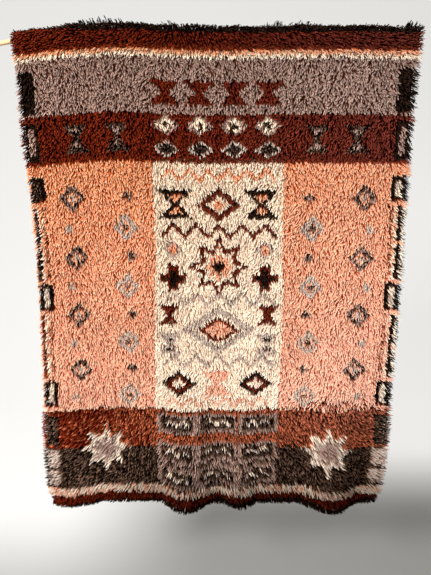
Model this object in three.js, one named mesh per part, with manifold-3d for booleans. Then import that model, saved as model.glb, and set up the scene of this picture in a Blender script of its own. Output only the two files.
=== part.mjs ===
// A rya rug hanging over a bowed wooden rod.
//
// Millimetres, +Z up. The rug's pile faces -Y and its bare woven back faces +Y. The origin is on
// the rod's axis, halfway along the rug, where the rod is held up.
//
// The rug is one solid. It is a lumpy slab of pile on a woven cloth, with locks of yarn around
// its rim. Its flat-woven heading is folded over the rod, drawn in below it, and lies flat on the
// back of the cloth, where it is sewn down.

import * as THREE from "three";
import { mergeVertices } from "three/addons/utils/BufferGeometryUtils.js";
import Module from "manifold-3d";

const wasm = await Module();
wasm.setup();

// The rod: a round stick, a little crooked, that droops at its left end.
const ROD_RADIUS = 8;
const ROD_SIDES = 14;
const ROD_STEPS = 26;
const ROD_LEFT_END = -785;
const ROD_RIGHT_END = 662;
const ROD_AXIS = [
  { across: -785, height: -34 },
  { across: -690, height: -19 },
  { across: -560, height: -5 },
  { across: -440, height: 4 },
  { across: -330, height: 9 },
  { across: -150, height: 3 },
  { across: 0, height: 0 },
  { across: 260, height: 4 },
  { across: 480, height: 5 },
  { across: 700, height: 4 },
];

// The woven cloth and how it sits on the rod.
const CLOTH_THICKNESS = 3;
const SEAT_GAP = 0.5;
const HEM_DROP = 1775;
const HEADING_DROP = 84;
const HEADING_WRAP = Math.PI / 6;
const LAYER_GAP = 1.2;
const BOW_LEFT_AT_HEM = 0.45;

// The pile: how thick it lies, and how far it hangs below the row it is knotted in.
const PILE_FRONT = 18;
const PILE_RIDGE = 13.5;
const PILE_HANG = 18;
const PILE_BEYOND_SIDE = 9;
const HAIR_BEYOND_CLOTH = 24;

// How far the tips of the pile reach to the left and right, at each drop below the rod.
const REACH = [
  { drop: -30, left: 712, right: 706 },
  { drop: 40, left: 709, right: 702 },
  { drop: 110, left: 696, right: 688 },
  { drop: 300, left: 691, right: 690 },
  { drop: 650, left: 678, right: 696 },
  { drop: 1000, left: 680, right: 708 },
  { drop: 1350, left: 686, right: 713 },
  { drop: 1600, left: 696, right: 714 },
  { drop: 1720, left: 692, right: 702 },
  { drop: 1800, left: 668, right: 672 },
];

// Where the hem swings forward, in soft flutes that die out as they climb.
const FLUTES = [
  { centre: -590, halfWidth: 150, forward: 32 },
  { centre: -115, halfWidth: 118, forward: 70 },
  { centre: 107, halfWidth: 84, forward: 40 },
  { centre: 482, halfWidth: 138, forward: 73 },
];
const FLUTE_CLIMB = 820;

// Where the pile stands higher along the ridge.
const RIDGE_TUFTS = [
  { centre: -345, halfWidth: 150, height: 5 },
  { centre: 150, halfWidth: 50, height: 5 },
  { centre: 290, halfWidth: 80, height: 5 },
  { centre: 550, halfWidth: 60, height: 4 },
];

// The lumps of the pile, as two crossing swells.
const LUMP_HEIGHT = 2.8;
const LUMP_ACROSS = 26;
const LUMP_DOWN = 62;

// The mesh: columns across the rug, rows down its front, and steps around the rod.
const COLUMNS = 38;
const FRONT_ROWS = 33;
const FOLD_STEPS = 9;

// The locks around the rim: thin three-sided tapers, their roots sunk in the slab.
const SIDE_LOCKS = 58;
const HEM_LOCKS = 50;
const RIDGE_LOCKS = 34;
const LOCK_SIDES = 3;
const LOCK_RADIUS = 10;
const LOCK_ROOT_DEPTH = 9;
const RIDGE_LOCK_SINK = 4;

const smooth = (t) => {
  const clamped = Math.min(Math.max(t, 0), 1);
  return clamped * clamped * (3 - 2 * clamped);
};
const mix = (a, b, t) => a + (b - a) * t;

// A soft hump, 1 at its centre and 0 past its half width.
const hump = (distance, halfWidth) => {
  const t = Math.min(Math.abs(distance) / halfWidth, 1);
  return Math.cos((t * Math.PI) / 2) ** 2;
};

// A smooth curve through one column of a table, read at a value of its key column.
function readTable(table, key, column, value) {
  const last = table.length - 1;
  let row = 0;
  while (row < last - 1 && value > table[row + 1][key]) {
    row += 1;
  }
  const from = table[row];
  const to = table[row + 1];
  const before = table[Math.max(row - 1, 0)];
  const after = table[Math.min(row + 2, last)];
  const span = to[key] - from[key];
  const t = Math.min(Math.max((value - from[key]) / span, 0), 1);
  const slopeIn = ((to[column] - before[column]) / (to[key] - before[key])) * span;
  const slopeOut = ((after[column] - from[column]) / (after[key] - from[key])) * span;
  const t2 = t * t;
  const t3 = t2 * t;
  return (
    (2 * t3 - 3 * t2 + 1) * from[column] +
    (t3 - 2 * t2 + t) * slopeIn +
    (3 * t2 - 2 * t3) * to[column] +
    (t3 - t2) * slopeOut
  );
}

// The height of the rod's axis at a place across the rug.
const rodHeight = (across) => readTable(ROD_AXIS, "across", "height", across);

// A repeatable stream of numbers from 0 to 1, so that the locks are uneven in the same way.
function makeRandom(seed) {
  let state = seed;
  return () => {
    state = (state * 1664525 + 1013904223) % 4294967296;
    return state / 4294967296;
  };
}
const random = makeRandom(1965);
const between = (low, high) => mix(low, high, random());

// How far forward the cloth's face swings at a place on the front.
function flute(across, drop) {
  const climbed = Math.min(Math.max((HEM_DROP - drop) / FLUTE_CLIMB, 0), 1);
  const strength = (1 - climbed) ** 2;
  const forward = FLUTES.reduce(
    (sum, one) => sum + one.forward * hump(across - one.centre, one.halfWidth),
    0,
  );
  return strength * forward;
}

// How much of the rod's bow the cloth still shows at a drop.
const bowAt = (drop) => mix(1, BOW_LEFT_AT_HEM, smooth(drop / HEM_DROP));

// The swelling and sinking of the pile at a place on the front.
function lump(across, drop) {
  const crossing = Math.sin(across / LUMP_ACROSS + 2.1 * Math.sin(drop / LUMP_DOWN));
  const down = Math.sin((2 * drop) / LUMP_DOWN + 1.3 * Math.sin((1.7 * across) / LUMP_ACROSS));
  return LUMP_HEIGHT * (crossing + 0.8 * down);
}

const ridgeTuft = (across) =>
  RIDGE_TUFTS.reduce((sum, one) => sum + one.height * hump(across - one.centre, one.halfWidth), 0);

// The fold turns from straight down in front, over the rod, to a little way under it behind.
const FOLD_TURN = Math.PI + HEADING_WRAP;
const FOLD_RADIUS = (ROD_RADIUS + SEAT_GAP) / Math.cos(FOLD_TURN / (2 * FOLD_STEPS));

// Below the rod the heading runs straight back to the cloth, and meets it at this drop.
const TUCK_DEPTH = FOLD_RADIUS * (1 + Math.cos(HEADING_WRAP)) - LAYER_GAP;
const TUCK_DROP = FOLD_RADIUS * Math.sin(HEADING_WRAP) + TUCK_DEPTH / Math.tan(HEADING_WRAP);

// The stations of the rug's section, from its hem, up its front, over the rod and down behind.
// In front a station has its drop, on the fold its angle, and behind its drop and its lean.
function sectionStations() {
  const stations = [];
  for (let row = 0; row <= FRONT_ROWS; row += 1) {
    stations.push({ place: "front", drop: HEM_DROP * (1 - row / FRONT_ROWS) });
  }
  for (let step = 1; step <= FOLD_STEPS; step += 1) {
    stations.push({ place: "fold", drop: 0, angle: Math.PI - (FOLD_TURN * step) / FOLD_STEPS });
  }
  stations.push({ place: "behind", drop: TUCK_DROP, lean: HEADING_WRAP / 2 });
  stations.push({ place: "behind", drop: HEADING_DROP, lean: 0 });
  return stations;
}

// The place across the rug, from its left edge at 0 to its right edge at 1.
function acrossAt(share, drop, beyond) {
  const edge = HAIR_BEYOND_CLOTH - beyond;
  const left = -(readTable(REACH, "drop", "left", drop) - edge);
  const right = readTable(REACH, "drop", "right", drop) - edge;
  return mix(left, right, share);
}

// The cloth's back face at a place in the section.
function clothPoint(across, station) {
  const bow = rodHeight(across);
  if (station.place === "front") {
    const forward = FOLD_RADIUS + flute(across, station.drop);
    return new THREE.Vector3(across, -forward, bow * bowAt(station.drop) - station.drop);
  }
  if (station.place === "fold") {
    return new THREE.Vector3(
      across,
      FOLD_RADIUS * Math.cos(station.angle),
      bow + FOLD_RADIUS * Math.sin(station.angle),
    );
  }
  return new THREE.Vector3(across, LAYER_GAP - FOLD_RADIUS, bow - station.drop);
}

// The way that the pile side faces at a place in the section.
function facing(across, station) {
  if (station.place === "fold") {
    return new THREE.Vector3(0, Math.cos(station.angle), Math.sin(station.angle));
  }
  if (station.place === "behind") {
    return new THREE.Vector3(0, Math.cos(station.lean), -Math.sin(station.lean));
  }
  const reach = 6;
  const sideways = flute(across + reach, station.drop) - flute(across - reach, station.drop);
  const upward = flute(across, station.drop - reach) - flute(across, station.drop + reach);
  return new THREE.Vector3(-sideways / (2 * reach), -1, -upward / (2 * reach)).normalize();
}

// How thick the rug is at a place in the section: cloth and pile in front, bare cloth behind.
function thickness(across, station) {
  if (station.place === "front") {
    const fromRod = smooth(station.drop / 120);
    return CLOTH_THICKNESS + PILE_FRONT + fromRod * lump(across, station.drop);
  }
  if (station.place === "behind") {
    return CLOTH_THICKNESS;
  }
  const ridge = PILE_RIDGE + ridgeTuft(across);
  const turned = 1 - station.angle / Math.PI;
  const pile =
    turned < 0.5
      ? mix(PILE_FRONT, ridge, smooth(turned * 2))
      : ridge * (1 - smooth((turned - 0.5) * 2));
  return CLOTH_THICKNESS + pile;
}

// How far past the cloth's side edge the pile lies at a place in the section.
function pileBeyondSide(station) {
  if (station.place === "front") {
    return PILE_BEYOND_SIDE;
  }
  return station.place === "fold" ? PILE_BEYOND_SIDE * smooth(station.angle / Math.PI) : 0;
}

// One point of the slab's pile side.
function pilePoint(share, station) {
  const across = acrossAt(share, station.drop, pileBeyondSide(station));
  const point = clothPoint(across, station);
  point.addScaledVector(facing(across, station), thickness(across, station));
  if (station.place === "front") {
    point.z -= PILE_HANG * smooth(station.drop / 90);
  }
  return point;
}

// One point of the slab's bare back.
const backPoint = (share, station) =>
  clothPoint(acrossAt(share, station.drop, 0), station);

// A closed slab from two grids of points that share their rim.
function slabGeometry(pileGrid, backGrid) {
  const columns = pileGrid.length;
  const rows = pileGrid[0].length;
  const points = [...pileGrid.flat(), ...backGrid.flat()];
  const backStart = columns * rows;
  const pileIndex = (column, row) => column * rows + row;
  const backIndex = (column, row) => backStart + column * rows + row;
  const triangles = [];
  const quad = (a, b, c, d) => triangles.push(a, b, c, a, c, d);
  for (let column = 0; column < columns - 1; column += 1) {
    for (let row = 0; row < rows - 1; row += 1) {
      quad(
        pileIndex(column, row),
        pileIndex(column + 1, row),
        pileIndex(column + 1, row + 1),
        pileIndex(column, row + 1),
      );
      quad(
        backIndex(column, row),
        backIndex(column, row + 1),
        backIndex(column + 1, row + 1),
        backIndex(column + 1, row),
      );
    }
  }
  const stitch = (columnA, rowA, columnB, rowB) =>
    quad(
      backIndex(columnA, rowA),
      backIndex(columnB, rowB),
      pileIndex(columnB, rowB),
      pileIndex(columnA, rowA),
    );
  for (let column = 0; column < columns - 1; column += 1) {
    stitch(column, 0, column + 1, 0);
    stitch(column + 1, rows - 1, column, rows - 1);
  }
  for (let row = 0; row < rows - 1; row += 1) {
    stitch(0, row + 1, 0, row);
    stitch(columns - 1, row, columns - 1, row + 1);
  }
  const geometry = new THREE.BufferGeometry();
  const positions = new Float32Array(points.flatMap((point) => point.toArray()));
  geometry.setAttribute("position", new THREE.BufferAttribute(positions, 3));
  geometry.setIndex(triangles);
  return geometry;
}

function rugSlab() {
  const stations = sectionStations();
  const pileGrid = [];
  const backGrid = [];
  for (let column = 0; column <= COLUMNS; column += 1) {
    const share = column / COLUMNS;
    pileGrid.push(stations.map((station) => pilePoint(share, station)));
    backGrid.push(stations.map((station) => backPoint(share, station)));
  }
  return slabGeometry(pileGrid, backGrid);
}

// One lock of yarn from a root inside the slab, out to its tip.
function lockGeometry(root, tip, radius) {
  const along = new THREE.Vector3().subVectors(tip, root);
  const lock = new THREE.ConeGeometry(radius, along.length(), LOCK_SIDES);
  lock.translate(0, along.length() / 2, 0);
  lock.rotateY(between(0, Math.PI));
  const turn = new THREE.Quaternion().setFromUnitVectors(
    new THREE.Vector3(0, 1, 0),
    along.clone().normalize(),
  );
  lock.applyQuaternion(turn);
  lock.translate(root.x, root.y, root.z);
  return lock;
}

// A lock that leaves the slab at a middle point of its rim and runs out along a direction.
function rimLock(seat, direction, length) {
  const way = direction.clone().normalize();
  const root = seat.clone().addScaledVector(way, -LOCK_ROOT_DEPTH);
  const tip = seat.clone().addScaledVector(way, length);
  return lockGeometry(root, tip, LOCK_RADIUS * between(0.8, 1.15));
}

// Halfway between the slab's pile side and its back, inside its rim.
function middlePoint(share, station) {
  return pilePoint(share, station).lerp(backPoint(share, station), 0.4);
}

function sideLocks(side) {
  const locks = [];
  for (let count = 0; count < SIDE_LOCKS; count += 1) {
    const drop = mix(8, HEM_DROP - 12, (count + between(0.2, 0.8)) / SIDE_LOCKS);
    const seat = middlePoint(side > 0 ? 1 : 0, { place: "front", drop });
    const direction = new THREE.Vector3(side, between(-0.5, 0.1), between(-1.1, -0.5));
    locks.push(rimLock(seat, direction, between(18, 28)));
  }
  return locks;
}

function hemLocks() {
  const locks = [];
  for (let count = 0; count < HEM_LOCKS; count += 1) {
    const share = (count + between(0.3, 0.7)) / HEM_LOCKS;
    const seat = middlePoint(share, { place: "front", drop: HEM_DROP });
    const direction = new THREE.Vector3(between(-0.3, 0.3), between(-0.35, 0), -1);
    locks.push(rimLock(seat, direction, between(11, 20)));
  }
  return locks;
}

function ridgeLocks() {
  const locks = [];
  for (let count = 0; count < RIDGE_LOCKS; count += 1) {
    const share = (count + between(0.2, 0.8)) / RIDGE_LOCKS;
    const angle = Math.PI * between(0.45, 0.7);
    const seat = pilePoint(share, { place: "fold", drop: 0, angle });
    seat.z -= RIDGE_LOCK_SINK;
    const direction = new THREE.Vector3(between(-1, 1), between(-0.5, 0.2), between(0.5, 0.9));
    locks.push(rimLock(seat, direction, between(9, 15)));
  }
  return locks;
}

// A closed solid from a three.js geometry.
function toSolid(geometry) {
  const bare = geometry.clone();
  bare.deleteAttribute("normal");
  bare.deleteAttribute("uv");
  const merged = mergeVertices(bare, 1e-4);
  return new wasm.Manifold(
    new wasm.Mesh({
      numProp: 3,
      vertProperties: new Float32Array(merged.attributes.position.array),
      triVerts: new Uint32Array(merged.index.array),
    }),
  );
}

function toGeometry(solid) {
  const mesh = solid.getMesh();
  const geometry = new THREE.BufferGeometry();
  geometry.setAttribute("position", new THREE.BufferAttribute(mesh.vertProperties, 3));
  geometry.setIndex(new THREE.BufferAttribute(mesh.triVerts, 1));
  return geometry;
}

// The rug: its slab with every rim lock joined to it.
function rugGeometry() {
  const locks = [...sideLocks(-1), ...sideLocks(1), ...hemLocks(), ...ridgeLocks()];
  let rug = toSolid(rugSlab());
  for (const lock of locks) {
    rug = rug.add(toSolid(lock));
  }
  const geometry = toGeometry(rug);
  geometry.computeVertexNormals();
  return geometry;
}

// The rod: rings across a crooked axis, sawn off square at both ends.
function rodGeometry() {
  const points = [];
  const triangles = [];
  for (let step = 0; step <= ROD_STEPS; step += 1) {
    const across = mix(ROD_LEFT_END, ROD_RIGHT_END, step / ROD_STEPS);
    for (let side = 0; side < ROD_SIDES; side += 1) {
      const angle = (2 * Math.PI * side) / ROD_SIDES;
      const out = ROD_RADIUS * Math.cos(angle);
      const up = ROD_RADIUS * Math.sin(angle);
      points.push(across, out, rodHeight(across) + up);
    }
  }
  for (let step = 0; step < ROD_STEPS; step += 1) {
    for (let side = 0; side < ROD_SIDES; side += 1) {
      const next = (side + 1) % ROD_SIDES;
      const here = step * ROD_SIDES;
      const there = here + ROD_SIDES;
      triangles.push(here + side, here + next, there + next);
      triangles.push(here + side, there + next, there + side);
    }
  }
  const lastRing = ROD_STEPS * ROD_SIDES;
  for (let side = 1; side < ROD_SIDES - 1; side += 1) {
    triangles.push(0, side + 1, side);
    triangles.push(lastRing, lastRing + side, lastRing + side + 1);
  }
  const geometry = new THREE.BufferGeometry();
  geometry.setAttribute("position", new THREE.BufferAttribute(new Float32Array(points), 3));
  geometry.setIndex(triangles);
  geometry.computeVertexNormals();
  return geometry;
}

const wool = new THREE.MeshStandardMaterial({ color: 0xd98c68, roughness: 0.95, metalness: 0 });
const paleWood = new THREE.MeshStandardMaterial({ color: 0xd8b184, roughness: 0.55, metalness: 0 });

const rug = new THREE.Mesh(rugGeometry(), wool);
rug.name = "rug";

const rod = new THREE.Mesh(rodGeometry(), paleWood);
rod.name = "rod";

const hanging = new THREE.Group();
hanging.add(rod);
hanging.add(rug);

export default hanging;
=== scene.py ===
# %% [markdown]
# A rya rug on a hanging rod
#
# A rya is a hand-knotted wool rug with a long, shaggy pile. This one hangs as a wall hanging. Its
# flat-woven heading is folded over a bowed wooden rod and sewn down at the back.
#
# The lesson builds it in the order that a weaver would: the rod, the woven cloth, the stitches,
# and then the pile, which is over sixty thousand separate locks of yarn. The pile could be made
# with a hair system, with instances, or as joined meshes worked out from arrays. Arrays are used
# here, because each lock then has a real shape and a real place, and the colour of every knot can
# be looked up in a design, as the weaver does.

# %% Load the fixed frame
import math

import bpy
import numpy as np
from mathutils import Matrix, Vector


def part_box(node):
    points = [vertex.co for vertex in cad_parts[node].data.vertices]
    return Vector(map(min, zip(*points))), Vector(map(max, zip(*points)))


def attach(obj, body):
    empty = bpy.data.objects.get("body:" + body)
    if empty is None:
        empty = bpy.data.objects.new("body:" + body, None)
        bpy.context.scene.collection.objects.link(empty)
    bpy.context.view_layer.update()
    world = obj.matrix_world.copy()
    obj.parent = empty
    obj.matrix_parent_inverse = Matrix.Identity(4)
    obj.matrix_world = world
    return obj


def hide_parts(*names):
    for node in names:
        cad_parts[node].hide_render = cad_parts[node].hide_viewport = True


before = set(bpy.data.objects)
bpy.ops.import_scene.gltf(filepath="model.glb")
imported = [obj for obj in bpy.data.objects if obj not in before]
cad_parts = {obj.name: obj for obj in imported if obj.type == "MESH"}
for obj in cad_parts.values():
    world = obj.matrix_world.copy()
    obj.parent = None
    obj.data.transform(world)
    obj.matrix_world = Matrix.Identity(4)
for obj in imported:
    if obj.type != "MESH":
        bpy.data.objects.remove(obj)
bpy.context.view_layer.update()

bpy.context.scene.view_settings.view_transform = "Standard"

# %% [markdown]
# The camera comes first, so that every later choice can be looked at from the photograph's place.
#
# The picture was taken by a phone held a little below the top of the rug and tipped down. Its
# upright lines lean in towards the bottom, and how fast they do gives the tilt. The lens follows
# from the same lines. The picture is 431 by 575, so the sensor's long side stands upright.

# %% Camera
CAMERA_PLACE = (0.0, -1.635, -0.557)
CAMERA_TILT_DOWN = math.radians(11.4)
CAMERA_ROLL = math.radians(0.35)
PICTURE_LONG_SIDE = 575
FOCAL_LENGTH_IN_PIXELS = 432
SENSOR_WIDTH = 36.0


def add_object(name, data):
    """A new object in the scene, which shows a mesh, a lamp or a camera."""
    thing = bpy.data.objects.new(name, data)
    bpy.context.scene.collection.objects.link(thing)
    return thing


camera_data = bpy.data.cameras.new("camera")
camera_data.sensor_width = SENSOR_WIDTH
camera_data.lens = SENSOR_WIDTH * FOCAL_LENGTH_IN_PIXELS / PICTURE_LONG_SIDE
camera = add_object("camera", camera_data)
camera.location = CAMERA_PLACE
camera.rotation_euler = (math.pi / 2 - CAMERA_TILT_DOWN, -CAMERA_ROLL, 0)
bpy.context.scene.camera = camera
print("the lens is", round(camera_data.lens, 2), "mm on a 36 mm sensor")

# %% [markdown]
# The cloth hangs in one shape, which every later piece has to follow: the rod's bow, the outline
# of the rug, and the flutes of its hem. These are short tables of real sizes, read by a smooth
# curve. A sculpted or simulated cloth would also do, but a formula can be asked for any point, and
# that is what tens of thousands of knots need.

# %% Small helpers for smooth curves
def smooth(t):
    """A soft step from 0 to 1."""
    t = np.clip(t, 0.0, 1.0)
    return t * t * (3 - 2 * t)


def rise(value, start, length):
    """A soft step that begins at a value and is full a length further on."""
    return smooth((value - start) / length)


def fall(value, start, length):
    return 1 - rise(value, start, length)


def mix(a, b, t):
    return a + (b - a) * t


def hump(distance, half_width):
    """A soft hump, 1 at its centre and 0 past its half width."""
    t = np.clip(np.abs(distance) / half_width, 0.0, 1.0)
    return np.cos(t * math.pi / 2) ** 2


def humps(across, rows):
    """Soft humps added up, from rows of a centre, a half width and a height."""
    return sum(height * hump(across - centre, half_width) for centre, half_width, height in rows)


def read_table(table, column, value):
    """A smooth curve through one column of a table, read at values of its first column."""
    keys, heights = (np.array([row[place] for row in table]) for place in (0, column))
    last = len(table) - 1
    rows = np.arange(last + 1)
    before, after = np.maximum(rows - 1, 0), np.minimum(rows + 1, last)
    slopes = (heights[after] - heights[before]) / (keys[after] - keys[before])
    value = np.asarray(value, dtype=float)
    row = np.clip(np.searchsorted(keys, value, side="right") - 1, 0, last - 1)
    span = keys[row + 1] - keys[row]
    t = np.clip((value - keys[row]) / span, 0.0, 1.0)
    t2, t3 = t * t, t * t * t
    return (
        (2 * t3 - 3 * t2 + 1) * heights[row]
        + (t3 - 2 * t2 + t) * slopes[row] * span
        + (3 * t2 - 2 * t3) * heights[row + 1]
        + (t3 - t2) * slopes[row + 1] * span
    )


print("a quarter of the way along, a soft step has risen", round(float(smooth(0.25)), 3))

# %% Soft noise
def soft_noise(x, y, size, seed):
    """A smooth random field from -1 to 1, with features of about the given size in metres."""
    cells = 260
    lattice = np.random.default_rng(seed).uniform(-1, 1, (cells, cells))
    u, v = x / size + cells / 2, y / size + cells / 2
    column, row = np.floor(u).astype(int), np.floor(v).astype(int)
    s, t = smooth(u - column), smooth(v - row)
    near, far = column % cells, (column + 1) % cells
    above, below = row % cells, (row + 1) % cells
    upper = mix(lattice[near, above], lattice[far, above], s)
    lower = mix(lattice[near, below], lattice[far, below], s)
    return mix(upper, lower, t)


sample = soft_noise(np.linspace(-0.7, 0.7, 500), np.zeros(500), 0.16, 11)
print("soft noise across the rug runs from", sample.min().round(2), "to", sample.max().round(2))

# %% The shape that the rug hangs in, in metres
ROD_RADIUS = 0.008
ROD_AXIS = [  # place across, height
    (-0.785, -0.034), (-0.690, -0.019), (-0.560, -0.005), (-0.440, 0.004), (-0.330, 0.009),
    (-0.150, 0.003), (0.000, 0.000), (0.260, 0.004), (0.480, 0.005), (0.700, 0.004),
]
REACH = [  # drop from the rod, reach to the left, reach to the right
    (-0.030, 0.712, 0.710), (0.040, 0.707, 0.709), (0.110, 0.696, 0.698), (0.300, 0.691, 0.698),
    (0.650, 0.673, 0.701), (1.000, 0.678, 0.709), (1.350, 0.685, 0.706), (1.600, 0.688, 0.706),
    (1.720, 0.682, 0.698), (1.800, 0.660, 0.672),
]
FLUTES = [  # centre across, half width, how far forward at the hem
    (-0.590, 0.150, 0.032), (-0.115, 0.118, 0.070), (0.107, 0.084, 0.040), (0.482, 0.138, 0.073),
]
FLUTE_CLIMB = 0.820
HEM_DROP = 1.775
CLOTH_FOOT = 1.787
BOW_LEFT_AT_HEM = 0.45
HAIR_BEYOND_CLOTH = 0.014

CLOTH_THICKNESS = 0.003
FOLD_RADIUS = 0.0087
FOLD_MIDDLE = FOLD_RADIUS + CLOTH_THICKNESS / 2
HEADING_WRAP = math.pi / 6
HEADING_DROP = 0.084
LAYER_GAP = 0.0012
TUCK_EASE = 0.004
FOLD_LENGTH = FOLD_MIDDLE * (math.pi + HEADING_WRAP)
TUCK_DEPTH = FOLD_RADIUS * (1 + math.cos(HEADING_WRAP)) - LAYER_GAP
TUCK_RUN = TUCK_DEPTH / math.sin(HEADING_WRAP)
TUCK_DROP = FOLD_RADIUS * math.sin(HEADING_WRAP) + TUCK_RUN * math.cos(HEADING_WRAP)
HEADING_LENGTH = FOLD_LENGTH + TUCK_RUN + HEADING_DROP - TUCK_DROP
print("the cloth was cut", round(CLOTH_FOOT + HEADING_LENGTH, 3), "m long")

# %% The rod's bow, the rug's sides and the flutes
def rod_height(across):
    return read_table(ROD_AXIS, 1, across)


def across_at(share, drop):
    """The place across the rug, from the cloth's left edge at 0 to its right edge at 1."""
    left, right = (read_table(REACH, column, drop) - HAIR_BEYOND_CLOTH for column in (1, 2))
    return mix(-left, right, share)


def flute(across, drop):
    """How far forward the cloth swings at a place on the front."""
    climbed = np.clip((HEM_DROP - drop) / FLUTE_CLIMB, 0.0, 1.0)
    return (1 - climbed) ** 2 * humps(across, FLUTES)


def bow_at(drop):
    """How much of the rod's bow the cloth still shows at a drop."""
    return mix(1.0, BOW_LEFT_AT_HEM, rise(drop, 0, HEM_DROP))


print("the left flute's hem swings", round(float(flute(-0.590, HEM_DROP)), 3), "m forward")

# %% A point of the cloth and the way it faces
def unit(vectors):
    return vectors / np.linalg.norm(vectors, axis=-1, keepdims=True)


def cloth_back(share, run):
    """Points of the cloth's back, and the way its pile side faces.

    run is the distance down the front from the rod. Below 0 it goes over the rod and then down
    the heading behind.
    """
    share, run = np.broadcast_arrays(np.asarray(share, float), np.asarray(run, float))
    drop = np.maximum(run, 0.0)
    across = across_at(share, drop)
    bow, none, one = rod_height(across), np.zeros_like(across), np.ones_like(across)
    forward = FOLD_RADIUS + flute(across, drop)
    point = np.stack([across, -forward, bow * bow_at(drop) - drop], axis=-1)
    reach = 0.006
    sideways = flute(across + reach, drop) - flute(across - reach, drop)
    upward = flute(across, drop - reach) - flute(across, drop + reach)
    facing = np.stack([-sideways / (2 * reach), -one, -upward / (2 * reach)], axis=-1)
    angle = math.pi + np.clip(run, -FOLD_LENGTH, 0.0) / FOLD_MIDDLE
    radial = np.stack([none, np.cos(angle), np.sin(angle)], axis=-1)
    on_fold = radial * FOLD_RADIUS + np.stack([across, none, bow], axis=-1)
    past = np.maximum(-run - FOLD_LENGTH, 0.0)
    slanting = np.minimum(past, TUCK_RUN)
    inward, downward = -slanting * math.sin(HEADING_WRAP), -slanting * math.cos(HEADING_WRAP)
    behind = on_fold + np.stack([none, inward, downward - (past - slanting)], axis=-1)
    lean = HEADING_WRAP * (1 - smooth((past - TUCK_RUN) / TUCK_EASE + 0.5))
    behind_facing = np.stack([none, np.cos(lean), -np.sin(lean)], axis=-1)
    is_fold = (run < 0)[..., None]
    is_behind = (past > 0)[..., None]
    point = np.where(is_behind, behind, np.where(is_fold, on_fold, point))
    facing = np.where(is_behind, behind_facing, np.where(is_fold, radial, facing))
    return point, unit(facing)


hem_ends, _ = cloth_back(np.array([0.0, 1.0]), np.full(2, CLOTH_FOOT))
print("the hem hangs from", hem_ends[0].round(3), "to", hem_ends[1].round(3))

# %% A mesh from arrays
def mesh_piece(name, points, corners, face_sizes, material, stands_for):
    """A smooth mesh object from arrays of points, face corners and face sizes."""
    mesh = bpy.data.meshes.new(name)
    mesh.vertices.add(len(points))
    mesh.vertices.foreach_set("co", np.asarray(points, np.float32).ravel())
    mesh.loops.add(len(corners))
    mesh.loops.foreach_set("vertex_index", np.asarray(corners, np.int32))
    mesh.polygons.add(len(face_sizes))
    starts = np.concatenate([[0], np.cumsum(face_sizes)[:-1]])
    mesh.polygons.foreach_set("loop_start", starts.astype(np.int32))
    mesh.update(calc_edges=True)
    mesh.shade_smooth()
    mesh.materials.append(material)
    piece = add_object(name, mesh)
    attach(piece, "root")
    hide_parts(stands_for)
    return piece


def grid_corners(columns, rows, first=0, close_rows=False):
    """The corners of the quads of a grid of points, stored column by column."""
    around = rows if close_rows else rows - 1
    column, row = np.meshgrid(np.arange(columns - 1), np.arange(around), indexing="ij")
    here, beside, after = column * rows, (column + 1) * rows, (row + 1) % rows
    quads = np.stack([here + row, beside + row, beside + after, here + after], axis=-1)
    return quads.reshape(-1, 4) + first


def rings_round(stations, first, second, turn, girth):
    """Rings of points round the stations of many centre lines at once."""
    turn = turn[..., None]
    ring = first[..., None, :] * np.cos(turn) + second[..., None, :] * np.sin(turn)
    return stations[..., None, :] + ring * girth[..., None, None]


def add_uv(piece, name, coordinates):
    layer = piece.data.uv_layers.new(name=name)
    layer.uv.foreach_set("vector", np.asarray(coordinates, np.float32).ravel())


print("a grid of 3 by 3 points is joined by", len(grid_corners(3, 3)), "faces")

# %% [markdown]
# Materials are built from nodes. Short helpers keep the recipes readable: one starts a material
# with its principled shader, one adds a node with its settings, one joins two sockets, and others
# blend, multiply and roughen. Each finds its node tree through the socket that it is given.
#
# Colours are picked in the screen's own values, so the first helper turns them linear.

# %% Colours and shaders
def linear(red, green, blue):
    """A colour on the screen's 0 to 255 scale as a linear colour."""
    share = np.array([red, green, blue]) / 255
    low = share / 12.92
    high = ((share + 0.055) / 1.055) ** 2.4
    return tuple(np.where(share <= 0.04045, low, high)) + (1.0,)


def new_material(name, roughness, specular, sheen=0.0, sheen_colour=(1, 1, 1, 1)):
    material = bpy.data.materials.new(name)
    material.use_nodes = True
    shader = material.node_tree.nodes["Principled BSDF"]
    settings = {
        "Roughness": roughness, "Specular IOR Level": specular, "Sheen Weight": sheen,
        "Sheen Roughness": 0.5, "Sheen Tint": sheen_colour,
    }
    for socket, value in settings.items():
        shader.inputs[socket].default_value = value
    return material, shader


print("mid grey on the screen is", round(float(linear(128, 128, 128)[0]), 3), "in linear light")

# %% Nodes and what joins them
def add_node(near, kind, **settings):
    """A node near another node or a socket. Settings are sockets' values or properties."""
    node = near.id_data.nodes.new(kind)
    for name, value in settings.items():
        socket = name.replace("_", " ").title()
        if socket in node.inputs:
            node.inputs[socket].default_value = value
        else:
            setattr(node, name, value)
    return node


def join(source, target):
    source.id_data.links.new(source, target)


def feed(socket, value):
    """Gives a socket another socket or a plain value."""
    if isinstance(value, bpy.types.NodeSocket):
        join(value, socket)
    else:
        socket.default_value = value


def value_range(source, low, high, from_low=0.0, from_high=1.0, way="LINEAR"):
    """A number moved from one range to another, held inside it."""
    node = add_node(
        source, "ShaderNodeMapRange", interpolation_type=way,
        from_min=from_low, from_max=from_high, to_min=low, to_max=high,
    )
    join(source, node.inputs["Value"])
    return node.outputs["Result"]


def reckon(operation, *terms):
    """A sum, a product or a wave of a socket and, where it takes two, of a second term."""
    node = add_node(terms[0], "ShaderNodeMath", operation=operation)
    for socket, term in zip(node.inputs, terms):
        feed(socket, term)
    return node.outputs[0]


def times(product, *factors):
    """A socket multiplied by numbers or other sockets."""
    for factor in factors:
        product = reckon("MULTIPLY", product, factor)
    return product


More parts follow.
